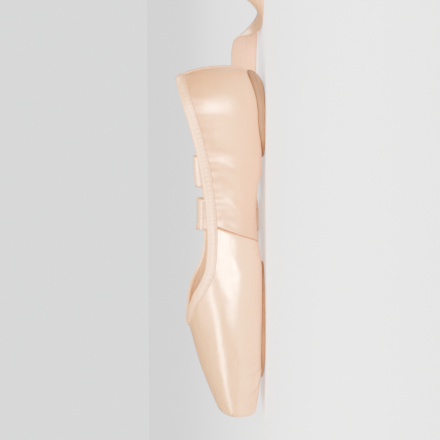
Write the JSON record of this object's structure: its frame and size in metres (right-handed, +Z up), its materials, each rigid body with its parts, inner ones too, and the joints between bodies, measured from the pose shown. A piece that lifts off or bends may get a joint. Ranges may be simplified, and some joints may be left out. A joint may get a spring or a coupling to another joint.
{
  "type": "pointe shoe",
  "caption": "Split-sole satin pointe shoe with a flat platform toe, stretch rear, leather sole patches and two loose ribbons.",
  "frame": {"origin": "on the floor, under the middle of the shoe's own box, without its ribbons", "axes": "+X to the toe, +Y to the wearer's left, +Z up"},
  "size_m": [0.3406, 0.1892, 0.0593],
  "materials": {
    "satin": "satin",
    "stretch_satin": "satin",
    "binding": "satin",
    "lining": "matte",
    "sole_leather": "matte",
    "heel_leather": "matte",
    "insole_cloth": "matte",
    "ribbon_satin": "satin",
    "thread": "matte"
  },
  "bodies": {
    "root": {"upper": "satin", "outsole_forefoot": "sole_leather", "outsole_heel": "heel_leather", "insole": "insole_cloth", "ribbon_left": "ribbon_satin", "ribbon_right": "ribbon_satin"}
  },
  "joints": []
}
